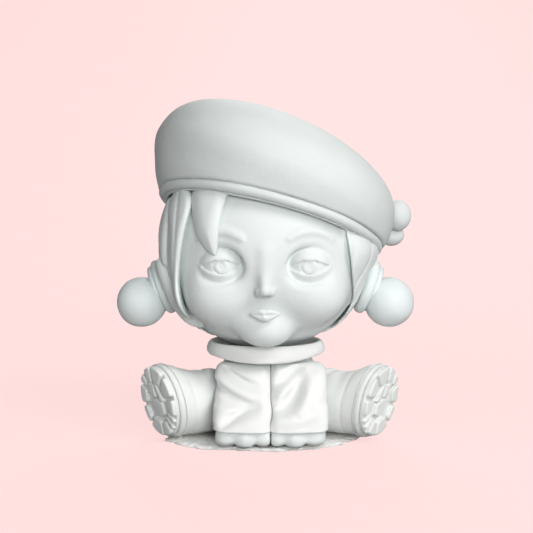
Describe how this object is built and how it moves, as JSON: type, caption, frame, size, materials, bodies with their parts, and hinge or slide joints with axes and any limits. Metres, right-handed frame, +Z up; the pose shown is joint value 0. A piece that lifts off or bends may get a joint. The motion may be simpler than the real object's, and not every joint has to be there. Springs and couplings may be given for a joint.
{
  "type": "seated art toy figure",
  "caption": "Seated vinyl doll in a tilted beret with ball ear warmers and lug-soled boots; the head turns, the arms swing and the legs twist.",
  "frame": {"origin": "on the flat underside of the base skirt, on the torso's middle plane, in line with the neck's axis front to back", "axes": "+Z up, the figure faces -Y, +X is the figure's left side"},
  "size_m": [0.1294, 0.1093, 0.1447],
  "materials": {
    "vinyl_body": "matt, unpainted",
    "vinyl_clothes": "matt, unpainted",
    "vinyl_boots": "matt, unpainted",
    "vinyl_hair": "matt, unpainted",
    "vinyl_hat": "matt, unpainted",
    "vinyl_ears": "smooth matt, unpainted",
    "pin_stock": "plain moulded"
  },
  "bodies": {
    "torso": {"base_skirt": "vinyl_body", "torso_front": "vinyl_body", "torso_back": "vinyl_body", "collar": "vinyl_body", "neck_pin": "pin_stock", "shoulder_pin": "pin_stock", "left_hip_pin": "pin_stock", "right_hip_pin": "pin_stock"},
    "left_arm": {"left_sleeve": "vinyl_clothes", "left_hand": "vinyl_body"},
    "right_arm": {"right_sleeve": "vinyl_clothes", "right_hand": "vinyl_body"},
    "left_leg_body": {"left_leg": "vinyl_body", "left_boot": "vinyl_boots", "left_welt": "vinyl_boots", "left_outsole": "vinyl_boots"},
    "right_leg_body": {"right_leg": "vinyl_body", "right_boot": "vinyl_boots", "right_welt": "vinyl_boots", "right_outsole": "vinyl_boots"},
    "head": {"face_shell": "vinyl_body", "hair_back": "vinyl_hair", "fringe_lock": "vinyl_hair", "right_side_lock": "vinyl_hair", "right_rear_lock": "vinyl_hair", "right_upper_lock": "vinyl_hair", "left_side_lock": "vinyl_hair", "beret_band": "vinyl_hat", "beret_crown": "vinyl_hat", "bow_knot": "vinyl_hat", "bow_upper_loop": "vinyl_hat", "bow_lower_loop": "vinyl_hat", "left_ear_cup": "vinyl_ears", "right_ear_cup": "vinyl_ears", "left_ear_ring": "vinyl_ears", "right_ear_ring": "vinyl_ears", "left_ear_ball": "vinyl_ears", "right_ear_ball": "vinyl_ears", "left_ear_pin": "pin_stock", "right_ear_pin": "pin_stock"}
  },
  "joints": [
    {"name": "neck_swivel", "type": "hinge", "parent": "torso", "child": "head", "pos_m": [-0.0013, 0, 0.04], "axis": [0, 0, 1], "continuous": true},
    {"name": "left_shoulder", "type": "hinge", "parent": "torso", "child": "left_arm", "pos_m": [0.0122, -0.0142, 0.0219], "axis": [-1, 0, 0], "range_deg": [0, 30]},
    {"name": "right_shoulder", "type": "hinge", "parent": "torso", "child": "right_arm", "pos_m": [-0.0122, -0.0142, 0.0219], "axis": [-1, 0, 0], "range_deg": [0, 30]},
    {"name": "left_hip", "type": "hinge", "parent": "torso", "child": "left_leg_body", "pos_m": [0.0145, 0.0025, 0.0154], "axis": [0.8192, -0.5736, 0], "range_deg": [-25, 25]},
    {"name": "right_hip", "type": "hinge", "parent": "torso", "child": "right_leg_body", "pos_m": [-0.0145, 0.0025, 0.0154], "axis": [-0.8192, -0.5736, 0], "range_deg": [-25, 25]}
  ]
}
